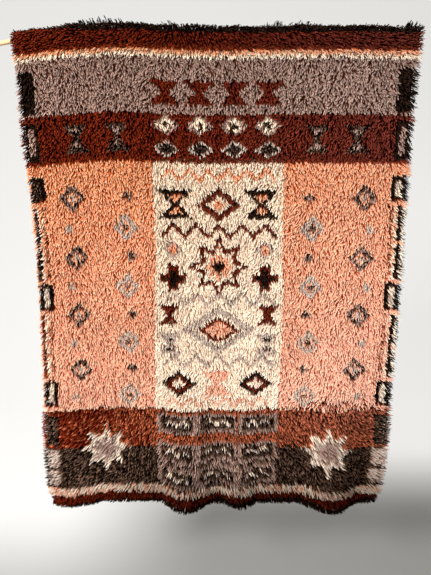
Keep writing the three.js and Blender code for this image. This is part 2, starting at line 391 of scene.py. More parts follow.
kinds = [kind for kind in dir(bpy.types) if kind.startswith("ShaderNode")]
print("there are", len(kinds), "kinds of shader nodes and sockets to choose from")

# %% Helpers that blend, place and roughen
def blend_colours(share, first, second):
    """Two colours or sockets blended by a socket."""
    node = add_node(share, "ShaderNodeMix", data_type="RGBA")
    for place, value in ((0, share), (6, first), (7, second)):
        feed(node.inputs[place], value)
    return node.outputs[2]


def tinted(colour, other, pattern, low, high, most=1.0):
    """A colour turned towards another where a pattern is strong, at most by a share."""
    return blend_colours(value_range(pattern, 0, most, low, high), colour, other)


def metres(near):
    """A place in the object's own metres."""
    return add_node(near, "ShaderNodeTexCoord").outputs["Object"]


def parts_of(place):
    """The three parts of a place."""
    split = add_node(place, "ShaderNodeSeparateXYZ")
    join(place, split.inputs["Vector"])
    return split.outputs


def noise(near, scale, detail=3.0, stretch=(1, 1, 1), rough=0.5):
    """A noise in the object's own metres, stretched along its axes."""
    mapping = add_node(near, "ShaderNodeMapping", scale=stretch)
    join(metres(near), mapping.inputs["Vector"])
    node = add_node(near, "ShaderNodeTexNoise", scale=scale, detail=detail, roughness=rough)
    join(mapping.outputs["Vector"], node.inputs["Vector"])
    return node.outputs["Fac"]


def add_bump(shader, height, strength, distance):
    bump = add_node(shader, "ShaderNodeBump", strength=strength, distance=distance)
    join(height, bump.inputs["Height"])
    join(bump.outputs["Normal"], shader.inputs["Normal"])


helpers = (blend_colours, tinted, metres, parts_of, noise, add_bump)
print("the recipes can use", ", ".join(helper.__name__ for helper in helpers))

# %% [markdown]
# The rod is a round stick of pale wood that shows only at the rug's left edge. It is not quite
# straight and not quite round, as a whittled stick is. A cylinder with a bend would look too
# perfect, so it is a tube of rings along the bowed axis, with a slow swelling, a few low knots
# and a softened edge at each sawn end.

# %% Shape of the rod
ROD_LEFT_END, ROD_RIGHT_END = (corner[0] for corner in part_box("rod"))
ROD_RINGS = 110
ROD_SIDES = 24
ROD_KNOTS = [  # place across, place around, size, height
    (-0.748, 2.2, 0.009, 0.00024), (-0.420, 0.6, 0.010, 0.0002),
    (0.180, 4.0, 0.011, 0.0002), (0.610, 1.4, 0.009, 0.0002),
]
END_EASE = 0.0014
SANDED_OFF = 0.0003
OUT_OF_ROUND = 0.0002
SWELLINGS = 17


def rod_piece(material):
    inner = np.linspace(ROD_LEFT_END, ROD_RIGHT_END, ROD_RINGS)
    ease = np.array([0.0, 0.4, 1.0]) * END_EASE
    across = np.unique(np.concatenate([inner, ROD_LEFT_END + ease, ROD_RIGHT_END - ease]))
    angle = np.linspace(0, 2 * math.pi, ROD_SIDES, endpoint=False)
    x, turn = np.meshgrid(across, angle, indexing="ij")
    end_distance = np.minimum(x - ROD_LEFT_END, ROD_RIGHT_END - x)
    rounding = END_EASE * (1 - np.sqrt(1 - (1 - np.clip(end_distance / END_EASE, 0, 1)) ** 2))
    radius = ROD_RADIUS - SANDED_OFF - rounding + OUT_OF_ROUND * np.sin(SWELLINGS * x + 2 * turn)
    for knot_across, around, size, height in ROD_KNOTS:
        sideways = ROD_RADIUS * np.angle(np.exp(1j * (turn - around)))
        radius = radius + height * hump(np.hypot(x - knot_across, sideways), size)
    points = np.stack(
        [x, radius * np.cos(turn), rod_height(x) + radius * np.sin(turn)], axis=-1
    ).reshape(-1, 3)
    quads = grid_corners(len(across), ROD_SIDES, close_rows=True)[:, ::-1]
    ends = [np.arange(ROD_SIDES), (len(across) - 1) * ROD_SIDES + np.arange(ROD_SIDES)[::-1]]
    corners = np.concatenate([quads.ravel(), *ends])
    sizes = [4] * len(quads) + [ROD_SIDES] * 2
    return mesh_piece("rod_stick", points, corners, sizes, material, "rod")


print("the rod is", round(ROD_RIGHT_END - ROD_LEFT_END, 3), "m long")

# %% Wood of the rod
def wood_material():
    material, shader = new_material("pale wood", roughness=0.55, specular=0.35)
    grain = noise(shader, scale=60, detail=6, stretch=(0.06, 1, 1), rough=0.6)
    streaks = noise(shader, scale=420, detail=2, stretch=(0.03, 1, 1))
    patches = noise(shader, scale=7, detail=2)
    colour = tinted(linear(226, 193, 150), linear(188, 146, 98), grain, 0.35, 0.7)
    colour = tinted(colour, linear(160, 122, 84), patches, 0.4, 0.75, most=0.35)
    colour = tinted(colour, linear(140, 100, 62), streaks, 0.55, 0.8, most=0.5)
    join(colour, shader.inputs["Base Color"])
    add_bump(shader, streaks, 0.35, 0.0005)
    return material


rod_stick = rod_piece(wood_material())
print("rod_stick has", len(rod_stick.data.polygons), "faces")

# %% [markdown]
# The design decides the colour of every knot. A weaver works from a chart: wide bands at both
# ends, a pale panel down the middle, a border of bars along both sides, and motifs set on the
# plain grounds. The motifs here are old, common ones: stepped diamonds, crosses, hourglasses,
# eight-point stars and zigzags.
#
# The chart could be drawn letter by letter. Here each motif is a rule for which knots it covers,
# given its size, so that one rule serves at every size and its steps fall on the knots by
# themselves.

# %% Yarns and bands
SALMON, CREAM, TAUPE, RED_BROWN, RUST, DARK_BROWN, BLACK, GREY = range(8)

KNOT_ACROSS = 0.0076
KNOT_DOWN = 0.0045
HALF_WIDTH = 0.690
DESIGN_LENGTH = 1.850

BANDS = [  # where each band ends, and its yarn
    (0.063, RED_BROWN), (0.0765, SALMON), (0.090, CREAM), (0.270, TAUPE), (0.4365, RED_BROWN),
    (1.392, SALMON), (1.553, RUST), (1.7325, DARK_BROWN), (1.7595, CREAM), (1.7685, SALMON),
    (1.802, RED_BROWN), (9.000, BLACK),
]
FIELD_TOP, FIELD_FOOT = 0.4365, 1.392
PANEL_HALF_TOP, PANEL_HALF_FOOT = 0.238, 0.250
BLACK_EDGE_LEFT, BLACK_EDGE_RIGHT = 0.006, 0.020
BLACK_FOOT_LEFT, BLACK_FOOT_RIGHT = 1.802, 1.787

knot_rows = math.ceil(DESIGN_LENGTH / KNOT_DOWN)
knot_columns = 2 * math.ceil(HALF_WIDTH / KNOT_ACROSS) + 1
knot_down, knot_across = np.meshgrid(
    (np.arange(knot_rows) + 0.5) * KNOT_DOWN,
    (np.arange(knot_columns) - knot_columns // 2) * KNOT_ACROSS,
    indexing="ij",
)
band_limits, band_yarns = (np.array(column) for column in zip(*BANDS))
knot_chart = band_yarns[np.searchsorted(band_limits, knot_down)]
black_edge = mix(BLACK_EDGE_LEFT, BLACK_EDGE_RIGHT, rise(knot_across, -0.62, 0.26))
knot_chart[knot_down < black_edge] = BLACK
black_foot = mix(BLACK_FOOT_LEFT, BLACK_FOOT_RIGHT, rise(knot_across, -0.50, 0.60))
knot_chart[knot_down > black_foot] = BLACK
print("the chart has", knot_rows, "rows of", knot_columns, "knots")

# %% Uneven dye lots in two of the bands
SALMON_LEFT_IN_STRIPE = 0.45
OLDER_LOT_AT_LEFT = 0.85
RUST_IN_LAST_ROWS = 0.45

dye = np.random.default_rng(7).uniform(0, 1, knot_chart.shape)
at_foot = (knot_chart == SALMON) & (knot_down > FIELD_FOOT)
knot_chart[at_foot & (dye > fall(knot_across, -0.52, 0.14))] = CREAM
in_stripe = (knot_chart == CREAM) & (knot_down > FIELD_FOOT)
knot_chart[in_stripe & (dye < SALMON_LEFT_IN_STRIPE)] = SALMON
older_lot = OLDER_LOT_AT_LEFT * fall(knot_across, -0.62, 0.46)
knot_chart[(knot_chart == RUST) & (dye < older_lot)] = RED_BROWN
last_rows = RUST_IN_LAST_ROWS * rise(knot_down, 1.335, 0.05) * rise(knot_across, 0.25, 0.10)
knot_chart[(knot_chart == SALMON) & (knot_down < FIELD_FOOT) & (dye < last_rows)] = RUST
print("the rust band has", int((knot_chart == RUST).sum()), "knots")

# %% Yarns tied by turns
every_other = (np.add.outer(np.arange(knot_rows), np.arange(knot_columns)) % 2).astype(bool)
HEATHER = (TAUPE, DARK_BROWN)
PEACH = (CREAM, SALMON)
WISPS = (CREAM, BLACK)
BRICK = (RED_BROWN, RUST)
EMBER = (RUST, SALMON)
PALE = (CREAM, GREY)
BLOOM = (GREY, TAUPE)


def paint(knots, yarn):
    """Ties some knots in a yarn, or in two yarns by turns."""
    first, second = yarn if isinstance(yarn, tuple) else (yarn, yarn)
    knot_chart[knots & every_other] = first
    knot_chart[knots & ~every_other] = second


print("two yarns by turns share", every_other.size, "knots, the first taking", every_other.sum())

# %% Motifs, each a rule for the knots it covers
STAR_WAIST = 0.46


def diamond(x, y, inset, width, height):
    slope = height / width
    return x * slope + y < max(height / 2 - 1.2 * inset * slope, 0)


def star(x, y, inset, radius):
    """Eight points: four along the axes and four along the diagonals."""
    reach = max(radius - 1.9 * inset, 0.001)
    along, beside = (x + y) / math.sqrt(2), np.abs(x - y) / math.sqrt(2)
    upright = (x + y / STAR_WAIST < reach) | (x / STAR_WAIST + y < reach)
    return upright | (along + beside / STAR_WAIST < reach)


def hourglass(x, y, inset, width, height):
    waist = width * (0.10 + 0.40 * y / (height / 2)) - 1.1 * inset
    return (y < height / 2 - inset) & (x < waist)


def cross(x, y, inset, width, height):
    arm = 0.17 * (width + height) / 2 - 0.55 * inset
    upright = (x < arm) & (y < height / 2 - inset)
    return upright | ((y < arm) & (x < width / 2 - inset))


a_diamond = diamond(np.abs(knot_across), np.abs(knot_down - 1), 0, 0.100, 0.096)
print("a diamond of 100 by 96 mm covers", int(a_diamond.sum()), "knots")

# %% Motifs of the pale panel
def motif(rule, across, down, sizes, line, *yarns):
    """Ties a motif once in the middle of the rug, or on both sides.

    Its centre is first moved onto a knot. It is then tied in each yarn in turn, smaller by one
    line each time.
    """
    down = (round(down / KNOT_DOWN) + 0.5) * KNOT_DOWN
    for side in (-1, 1) if across else (1,):
        centre = round(side * across / KNOT_ACROSS) * KNOT_ACROSS
        x, y = np.abs(knot_across - centre), np.abs(knot_down - down)
        for ring, yarn in enumerate(yarns):
            paint(rule(x, y, ring * line, *sizes), yarn)


def zigzag(left, right, down, height, pitch, thickness, yarn):
    """A line of teeth between two places across."""
    phase = np.abs(((knot_across - left) / pitch) % 1.0 * 2 - 1)
    line = np.abs(knot_down - down - height * (phase - 0.5)) < thickness / 2
    paint(line & (knot_across >= left) & (knot_across <= right), yarn)


panel_share = (knot_down - FIELD_TOP) / (FIELD_FOOT - FIELD_TOP)
in_field = (panel_share > 0) & (panel_share < 1)
panel_half = mix(PANEL_HALF_TOP, PANEL_HALF_FOOT, panel_share)
knot_chart[in_field & (np.abs(knot_across) < panel_half)] = CREAM

zigzag(-0.21, 0.21, 0.478, 0.036, 0.070, 0.016, SALMON)
motif(diamond, 0, 0.580, (0.170, 0.120), 0.016, RED_BROWN, RED_BROWN, CREAM, SALMON)
motif(hourglass, 0.160, 0.580, (0.125, 0.100), 0.016, BLACK, SALMON, SALMON)
zigzag(-0.215, 0.215, 0.678, 0.044, 0.086, 0.018, RED_BROWN)
motif(star, 0, 0.808, (0.118,), 0.016, RED_BROWN, CREAM, SALMON, BLACK)
motif(diamond, 0.172, 0.748, (0.080, 0.076), 0.015, GREY, SALMON)
motif(cross, 0.172, 0.856, (0.100, 0.095), 0.015, RED_BROWN, BLACK)
zigzag(-0.215, 0.215, 0.938, 0.044, 0.086, 0.018, GREY)
motif(diamond, 0, 1.056, (0.290, 0.190), 0.018, GREY, GREY, CREAM, RED_BROWN, SALMON)
motif(hourglass, 0.190, 0.998, (0.080, 0.076), 0.016, RED_BROWN)
motif(hourglass, 0.190, 1.116, (0.092, 0.082), 0.016, GREY, BLACK)
zigzag(-0.215, 0.215, 1.186, 0.044, 0.086, 0.018, GREY)
motif(diamond, 0.152, 1.278, (0.140, 0.105), 0.016, BLACK, RED_BROWN, CREAM)
motif(hourglass, 0, 1.278, (0.125, 0.100), 0.016, SALMON, SALMON, RUST)
zigzag(-0.21, 0.21, 1.356, 0.032, 0.070, 0.014, SALMON)
print("the pale panel is", round(2 * PANEL_HALF_TOP, 3), "m wide at its top")

# %% Motifs of the salmon grounds, in half-drop rows
for count in range(4):
    down = 0.560 + 0.220 * count
    motif(diamond, 0.540, down, (0.100, 0.096), 0.010, HEATHER, HEATHER, SALMON, GREY)
    motif(diamond, 0.352, down + 0.110, (0.100, 0.096), 0.010, GREY, GREY, SALMON, HEATHER)
    motif(diamond, 0.335, down, (0.040, 0.040), 0.010, HEATHER)
    motif(diamond, 0.560, down + 0.110, (0.036, 0.036), 0.010, GREY)
print("the chart has", int((knot_chart == SALMON).sum()), "salmon knots")

# %% Motifs of the end bands
def box(left, right, top, foot, yarn):
    """A rectangle between two places across and two places down."""
    inside = (knot_across > left) & (knot_across < right)
    paint(inside & (knot_down > top) & (knot_down < foot), yarn)


BOX_EDGES = (-0.240, -0.080, 0.085, 0.248)
for across in (0.061, 0.183):
    motif(hourglass, across, 0.198, (0.105, 0.074), 0.014, RED_BROWN, RED_BROWN, GREY)
    motif(diamond, across, 0.305, (0.105, 0.066), 0.013, TAUPE, CREAM, BLACK)
    motif(diamond, across, 0.385, (0.105, 0.060), 0.013, GREY, DARK_BROWN)
for across in (0.355, 0.505):
    motif(hourglass, across, 0.350, (0.085, 0.092), 0.014, DARK_BROWN, TAUPE)
box(BOX_EDGES[0], BOX_EDGES[-1], 1.553, 1.718, HEATHER)
for left, right in zip(BOX_EDGES[:-1], BOX_EDGES[1:]):
    for top in (1.408, 1.530, 1.640):
        for inset, yarn in ((0, TAUPE), (0.0125, DARK_BROWN)):
            side_gap = 0.003 + inset
            box(left + side_gap, right - side_gap, top + inset, top + 0.080 - inset, yarn)
        zigzag(left + 0.030, right - 0.030, top + 0.040, 0.018, 0.052, 0.011, PALE)
motif(star, 0.450, 1.562, (0.100,), 0.015, PALE, BLOOM, TAUPE, TAUPE, DARK_BROWN)
print("the chart has", int((knot_chart == DARK_BROWN).sum()), "dark brown knots")

# %% Side borders, by their distance in from the rug's edges
def border_box(side, outer, inner, top, foot, yarn):
    left, right = sorted((side * (HALF_WIDTH - outer), side * (HALF_WIDTH - inner)))
    box(left, right, top, foot, yarn)


def framed_box(side, edge, inner, top, foot, line, frame_yarn, yarn):
    """A box in a frame whose outer upright shows at the rug's edge."""
    border_box(side, edge, inner, top, foot, frame_yarn)
    border_box(side, max(edge, 0) + line, inner - line, top + line, foot - line, yarn)


for side, edge, outer_line in ((-1, 0.001, 0.017), (1, -0.020, 0.023)):
    border_box(side, edge, 0.058, 0.122, 0.260, BLACK)
    framed_box(side, edge, 0.056, 0.292, 0.425, 0.0180, BLACK, TAUPE)
    framed_box(side, edge, 0.054, 0.478, 0.568, 0.0160, BLACK, DARK_BROWN if side < 0 else PALE)
    for top, foot in ((0.590, 0.716), (0.724, 0.858), (0.994, 1.120), (1.128, 1.250)):
        lower_left = side < 0 and top > 0.9
        inner_line = 0.032 if side < 0 else 0.040
        border_box(side, outer_line, inner_line, top, foot, PEACH)
        border_box(side, edge, outer_line, top, foot, BRICK if lower_left else BLACK)
        border_box(side, inner_line, inner_line + 0.012, top, foot, EMBER)
        if side > 0:
            border_box(side, edge, 0.012, top, foot, WISPS)
    for top in (0.872, 1.268):
        framed_box(side, edge, 0.054, top, top + 0.106, 0.0160, BLACK, PALE)
    border_box(side, edge, 0.056, 1.412, 1.545, DARK_BROWN)
    for top, foot in ((1.562, 1.640), (1.656, 1.718)):
        framed_box(side, edge, 0.058, top, foot, 0.0130, BLOOM, GREY)
print("the chart uses", len(np.unique(knot_chart)), "yarns")

# %% Which yarn shows at a place
RIDGE_ABOVE_ROD = 0.027
SHOWS_LOWER_BY = 0.018
CHART_PAST_CLOTH = 0.008
HEM_STRIPES_FROM = 1.710
FLUTES_LIFT_STRIPES = 0.25
LAST_STRIPE = 1.783


def yarn_at(across, height, drop):
    """The yarn that the chart asks for at places on the pile's surface.

    The hem stripes run a little higher where a flute carries the hem forward, and the black of
    the last rows stays where it is.
    """
    left = across_at(0.0, drop) - CHART_PAST_CLOTH
    right = across_at(1.0, drop) + CHART_PAST_CLOTH
    share = (across - left) / (right - left)
    below = RIDGE_ABOVE_ROD + rod_height(across) * bow_at(drop) - height
    below = below - SHOWS_LOWER_BY * rise(below, 0, 0.06)
    in_hem = rise(below, HEM_STRIPES_FROM, 0.045)
    lifted = np.minimum(below + FLUTES_LIFT_STRIPES * in_hem * flute(across, drop), LAST_STRIPE)
    below = np.maximum(below, lifted)
    row = np.floor(below / KNOT_DOWN).astype(int)
    column = np.rint((2 * share - 1) * HALF_WIDTH / KNOT_ACROSS).astype(int) + knot_columns // 2
    return knot_chart[np.clip(row, 0, knot_rows - 1), np.clip(column, 0, knot_columns - 1)]


down_the_middle = yarn_at(np.zeros(200), np.linspace(0, -1.78, 200), np.linspace(0, 1.78, 200))
print("down the middle the yarn changes", int((np.diff(down_the_middle) != 0).sum()), "times")

# %% [markdown]
# The woven cloth carries the knots. From behind it shows its close weave, and the rows of knots
# as short coloured dashes. It is one closed sheet, three millimetres thick, that runs up the
# front, over the rod and down the back as the heading.
#
# The dashes could be thousands of small meshes, but they lie flush in the weave, so they are
# drawn in the material: each point of the mesh carries the colour of the knot in front of it.

# %% Colours of the yarns
# The colour at the root is darkened as painted shade between the locks.
YARNS = {  # name, colour at the root, colour at the tip
    SALMON: ("salmon", (190, 86, 40), (255, 203, 166)),
    CREAM: ("cream", (218, 181, 146), (252, 234, 210)),
    TAUPE: ("taupe", (84, 46, 30), (190, 158, 143)),
    RED_BROWN: ("red_brown", (30, 1, 0), (135, 48, 25)),
    RUST: ("rust", (38, 3, 0), (234, 114, 55)),
    DARK_BROWN: ("dark_brown", (5, 1, 0), (136, 106, 89)),
    BLACK: ("black", (8, 3, 1), (60, 41, 31)),
    GREY: ("grey", (140, 106, 86), (216, 200, 186)),
}
print("the rug is tied with", len(YARNS), "yarns")

# %% Shape of the woven cloth
CLOTH_COLUMNS = 121
FRONT_ROWS = 150
KNOT_BED = 0.0065
BED_FROM_RUN = -2 * FOLD_MIDDLE
PILE_HANGS_BELOW_KNOT = 0.012
KNOT_BACK_SHARE = 0.6
HEADING_MARK, BACK_MARK, PILE_MARK = 0.0, 0.5, 1.0


def cloth_runs():
    """Even steps down the front, fine steps over the rod, and a few down the heading."""
    behind = np.linspace(-HEADING_LENGTH, -FOLD_LENGTH - TUCK_RUN, 7)
    slant = np.linspace(-FOLD_LENGTH - TUCK_RUN, -FOLD_LENGTH, 6)
    fold = np.linspace(-FOLD_LENGTH, 0.0, 19)
    front = np.linspace(0.0, CLOTH_FOOT, FRONT_ROWS)
    return np.unique(np.concatenate([behind, slant, fold, front]))


def cloth_piece(material):
    share, run = np.meshgrid(np.linspace(0, 1, CLOTH_COLUMNS), cloth_runs(), indexing="ij")
    drop = np.maximum(run, 0.0)
    back, facing = cloth_back(share, run)
    bed = KNOT_BED * rise(run, BED_FROM_RUN, 0.008)
    bed = bed * (0.8 + 0.25 * soft_noise(across_at(share, drop), run, 0.016, 21))
    face = back + (CLOTH_THICKNESS + bed)[..., None] * facing
    columns, rows = share.shape
    points = np.concatenate([face.reshape(-1, 3), back.reshape(-1, 3)])
    face_quads = grid_corners(columns, rows)[:, ::-1]
    back_quads = grid_corners(columns, rows, first=columns * rows)
    index = np.arange(columns * rows).reshape(columns, rows)
    rim = np.concatenate([index[:, 0], index[-1, 1:], index[-2::-1, -1], index[0, -2:0:-1]])
    after = np.roll(rim, -1)
    rim_quads = np.stack([rim, after, after + columns * rows, rim + columns * rows], axis=-1)
    quads = np.concatenate([face_quads, back_quads, rim_quads])
    sizes = np.full(len(quads), 4)
    piece = mesh_piece("woven_cloth", points, quads.ravel(), sizes, material, "rug")
    # The face under the pile takes each yarn's root colour, painted shade between the locks, and
    # the back a mix of root and tip.
    yarns = yarn_at(back[..., 0], back[..., 2] - PILE_HANGS_BELOW_KNOT, drop)
    roots, tips = (np.array([linear(*YARNS[yarn][end]) for yarn in range(8)]) for end in (1, 2))
    colours = np.stack([roots[yarns], mix(roots, tips, KNOT_BACK_SHARE)[yarns]])
    on_heading = run < -FOLD_LENGTH / 2
    for side, mark in enumerate((PILE_MARK, BACK_MARK)):
        colours[side, ..., 3] = np.where(on_heading, HEADING_MARK, mark)
    layer = piece.data.color_attributes.new("knot_colours_and_root_shade", "FLOAT_COLOR", "POINT")
    layer.data.foreach_set("color", colours.astype(np.float32).ravel())
    return piece


print("the cloth's mesh has", CLOTH_COLUMNS, "columns and", len(cloth_runs()), "rows")

# %% Weave of the cloth
WARP_PITCH, WEFT_PITCH = 0.0042, 0.0030


def ribs(place, pitch):
    """A wave along one axis, for threads at an even pitch."""
    return reckon("SINE", times(place, 2 * math.pi / pitch))


def cloth_material():
    material, shader = new_material("woven ground", roughness=0.95, specular=0.05, sheen=0.02)
    x, _, z = parts_of(metres(shader))
    weave = times(ribs(x, WARP_PITCH), ribs(z, WEFT_PITCH))
    in_row = value_range(ribs(z, KNOT_DOWN), 0, 1, 0.35, 0.75)
    in_knot = value_range(ribs(x, KNOT_ACROSS * 0.9), 0, 1, -0.75, -0.35)
    behind = add_node(shader, "ShaderNodeAttribute", attribute_name="knot_colours_and_root_shade")
    yarn, mark = behind.outputs["Color"], behind.outputs["Alpha"]
    shown = times(in_row, in_knot, value_range(mark, 0, 1, 0.1, 0.4))
    # Under the pile the face shows the yarn's root colour, painted shade.
    under_pile = value_range(mark, 0, 1, 0.6, 0.9)
    patches = noise(shader, scale=5, detail=3)
    flecks = noise(shader, scale=260, detail=2)
    ground = tinted(linear(196, 178, 148), linear(164, 144, 114), patches, 0.35, 0.7)
    ground = tinted(ground, linear(96, 82, 62), weave, 1, -1, most=0.45)
    ground = tinted(ground, linear(122, 104, 80), flecks, 0.55, 0.8, most=0.5)
    colour = blend_colours(under_pile, blend_colours(shown, ground, yarn), yarn)
    join(colour, shader.inputs["Base Color"])
    add_bump(shader, reckon("ADD", weave, shown), 0.6, 0.0006)
    return material


woven_cloth = cloth_piece(cloth_material())
print("woven_cloth has", len(woven_cloth.data.polygons), "faces")

# %% [markdown]
# The heading is held down by a row of stitches along its lower edge. A stitch could be painted on,
# but thread catches the light as a small raised loop, so each one is a low six-sided bead of
# thread. They don't all slant alike, as in hand sewing.

# %% Shape of the stitches along the heading
STITCH_PITCH = 0.0125
STITCHES = int(2 * HALF_WIDTH / STITCH_PITCH)
STITCH_LENGTH = 0.0095
STITCH_THICKNESS = 0.0016
STITCH_SECTIONS = 5
STITCH_SIDES = 6
STITCH_ABOVE_EDGE = 0.006
STITCH_OFF_CLOTH = 0.0002
STITCH_TILT, TILT_SPREAD = 0.45, 0.12
STITCH_RISE = 0.4 * STITCH_THICKNESS


def stitches_piece(material):
    share = (np.arange(STITCHES) + 0.5) / STITCHES
    back, facing = cloth_back(share, np.full(STITCHES, -HEADING_LENGTH + STITCH_ABOVE_EDGE))
    centre = back + (CLOTH_THICKNESS + STITCH_OFF_CLOTH) * facing
    tilt = STITCH_TILT + TILT_SPREAD * np.sin(7.3 * np.arange(STITCHES))
    way = np.stack([np.cos(tilt), 0 * tilt, np.sin(tilt)], axis=-1)
    over = np.cross(way, facing)
    along = np.linspace(-1, 1, STITCH_SECTIONS)
    turn = np.linspace(0, 2 * math.pi, STITCH_SIDES, endpoint=False)
    girth = STITCH_THICKNESS / 2 * np.sqrt(np.clip(1.02 - along**2, 0.02, 1))
    lift = STITCH_RISE * (1 - along**2)
    middle = (
        centre[:, None, :]
        + way[:, None, :] * (along * STITCH_LENGTH / 2)[None, :, None]
        + facing[:, None, :] * lift[None, :, None]
    )
    points = rings_round(middle, over[:, None, :], facing[:, None, :], turn, girth)
    per_stitch = STITCH_SECTIONS * STITCH_SIDES
    quads = grid_corners(STITCH_SECTIONS, STITCH_SIDES, close_rows=True)
    cap = np.arange(STITCH_SIDES)
    one = np.concatenate([quads.ravel(), cap[::-1], per_stitch - STITCH_SIDES + cap])
    corners = (np.arange(STITCHES) * per_stitch)[:, None] + one
    sizes = np.tile([4] * len(quads) + [STITCH_SIDES] * 2, STITCHES)
    return mesh_piece(
        "heading_stitches", points.reshape(-1, 3), corners.ravel(), sizes, material,
        "rug",
    )


print("the heading takes", STITCHES, "stitches")

# %% Thread of the stitches
def thread_material():
    material, shader = new_material("linen thread", roughness=0.75, specular=0.3, sheen=0.2)
    twist = noise(shader, scale=900, detail=2)
    colour = blend_colours(twist, linear(150, 128, 98), linear(196, 176, 142))
    join(colour, shader.inputs["Base Color"])
    add_bump(shader, twist, 0.4, 0.0003)
    return material


heading_stitches = stitches_piece(thread_material())
print("heading_stitches has", len(heading_stitches.data.polygons), "faces")

# %% [markdown]
# The pile is what makes a rya. Each knot leaves two ends of yarn that stand out from the cloth,
# bend over and hang down across the rows below. The ends lie this way and that in slow swirls,
# fan outwards at both side edges, and are combed sideways along the top.
#
# A lock is a thin closed tube with three sides, which starts from a point in the cloth, bends
# over, waves a little, and ends in a short tip. Arrays hold every lock at once, so the whole pile
# is worked out in a few lines, and the same seed gives the same pile each time.

# %% Where the knots are
ROW_PITCH = 0.0079
FOOT_ROW_PITCH = 0.0104
FOOT_ROWS_FROM = 1.372
FOLD_ROW_PITCH = 0.0042
LOCK_PITCH = 0.00455
FIRST_RUN = -0.0190
HEM_ROWS_ABOVE_FOOT = (0.006, 0.0035, 0.001)
INSIDE_EDGE = 0.001
random = np.random.default_rng(1965)


def knot_places():
    """The share across and the run down the cloth of every lock's root, unevenly spaced."""
    on_fold = np.arange(FIRST_RUN, -0.001, FOLD_ROW_PITCH)
    on_front = np.arange(0.002, FOOT_ROWS_FROM, ROW_PITCH)
    on_foot = np.arange(FOOT_ROWS_FROM, CLOTH_FOOT, FOOT_ROW_PITCH)
    at_hem = CLOTH_FOOT - np.array(HEM_ROWS_ABOVE_FOOT)
    rows = np.concatenate([on_fold, on_front, on_foot, at_hem])
    per_row = int(2 * (HALF_WIDTH - HAIR_BEYOND_CLOTH) / LOCK_PITCH)
    run, column = np.meshgrid(rows, np.arange(per_row), indexing="ij")
    stagger = 0.5 * (np.arange(len(rows)) % 2)[:, None]
    share = (column + 0.25 + stagger + random.uniform(-0.38, 0.38, run.shape)) / per_row
    pitch = np.where(run < 0, FOLD_ROW_PITCH, ROW_PITCH)
    run = run + random.uniform(-0.4, 0.4, run.shape) * pitch
    run = np.clip(run, FIRST_RUN, CLOTH_FOOT - INSIDE_EDGE)
    return np.clip(share, INSIDE_EDGE, 1 - INSIDE_EDGE).ravel(), run.ravel()


lock_share, lock_run = knot_places()
lock_count = len(lock_share)
print("the pile has", lock_count, "locks")

# %% Loose hairs at the rim
TOP_RUN = -FOLD_MIDDLE * math.pi / 2


def rim_places(count_side, count_ridge, count_hem):
    """Roots of the thin loose hairs along both sides, the ridge and the hem."""
    side = np.repeat([0.002, 0.998], count_side)
    side_run = random.uniform(-0.01, CLOTH_FOOT - 0.002, 2 * count_side)
    ridge = random.uniform(INSIDE_EDGE, 1 - INSIDE_EDGE, count_ridge)
    ridge_run = random.uniform(FIRST_RUN, TOP_RUN + 0.004, count_ridge)
    hem = random.uniform(INSIDE_EDGE, 1 - INSIDE_EDGE, count_hem)
    hem_run = random.uniform(CLOTH_FOOT - 0.020, CLOTH_FOOT - INSIDE_EDGE, count_hem)
    share = np.concatenate([side, ridge, hem])
    return share, np.concatenate([side_run, ridge_run, hem_run])


hair_share, hair_run = rim_places(count_side=750, count_ridge=1100, count_hem=300)
lock_share = np.concatenate([lock_share, hair_share])
lock_run = np.concatenate([lock_run, hair_run])
is_hair = np.arange(len(lock_share)) >= lock_count
print("the rim has", len(hair_share), "loose hairs")

# %% Chance, drawn once for every lock
total = len(lock_share)
tangle = random.normal(0, 12, total)
length_chance = random.uniform(0.80, 1.20, total)
lift_chance = random.uniform(0.70, 1.15, total)
ridge_lift_chance = random.uniform(0.70, 1.15, total)
hair_length_chance = random.uniform(0.80, 1.15, total)
hair_lift_chance = random.uniform(0.20, 1.10, total)
standing_chance = random.uniform(0.45, 1.15, total)
print("chance leans the wildest lock by", round(float(np.abs(tangle).max())), "degrees")

# %% Where each lock stands on the rug
lock_drop = np.maximum(lock_run, 0.0)
lock_across = across_at(lock_share, lock_drop)
from_left = lock_across - across_at(0.0, lock_drop)
from_right = across_at(1.0, lock_drop) - lock_across
low = rise(lock_drop, FOOT_ROWS_FROM - 0.04, 0.10)
combed = fall(lock_run, 0.050 - RIDGE_ABOVE_ROD, 0.060)
at_rim = np.maximum(fall(from_left, 0, 0.030), fall(from_right, 0, 0.045))
at_hem = rise(lock_run, CLOTH_FOOT - 0.030, 0.025)
right_hair = is_hair & (from_right < 0.02) & (lock_run < CLOTH_FOOT - 0.03)
ridge_hair = is_hair & (lock_run < TOP_RUN + 0.005)
print("the ridge has", int(ridge_hair.sum()), "hairs")

# %% How far each lock leans from straight down, in degrees
SWIRLS = [(18, 0.16, 11), (20, 0.050, 12)]  # lean, size in metres, seed
TUFT_LEAN, TUFT_SIZE = 26, 0.016
UNRULY_AT_TOP = 0.6
CALM_LOW_DOWN, FEWER_SWIRLS_LOW_DOWN = 0.68, 0.4
COMBED_LEAN, COMBED_MORE_AT_ENDS = 54, 22
OWN_LEAN_KEPT_WHERE_COMBED, OWN_LEAN_KEPT_AT_EDGES = 0.6, 0.5
HEM_FAN, HEM_FAN_REACH = 50, 0.66
EDGE_FANS = [(from_left, -42, 0.050), (from_right, 44, 0.070)]  # distance, lean, width
HAIR_LEAN = 1.35


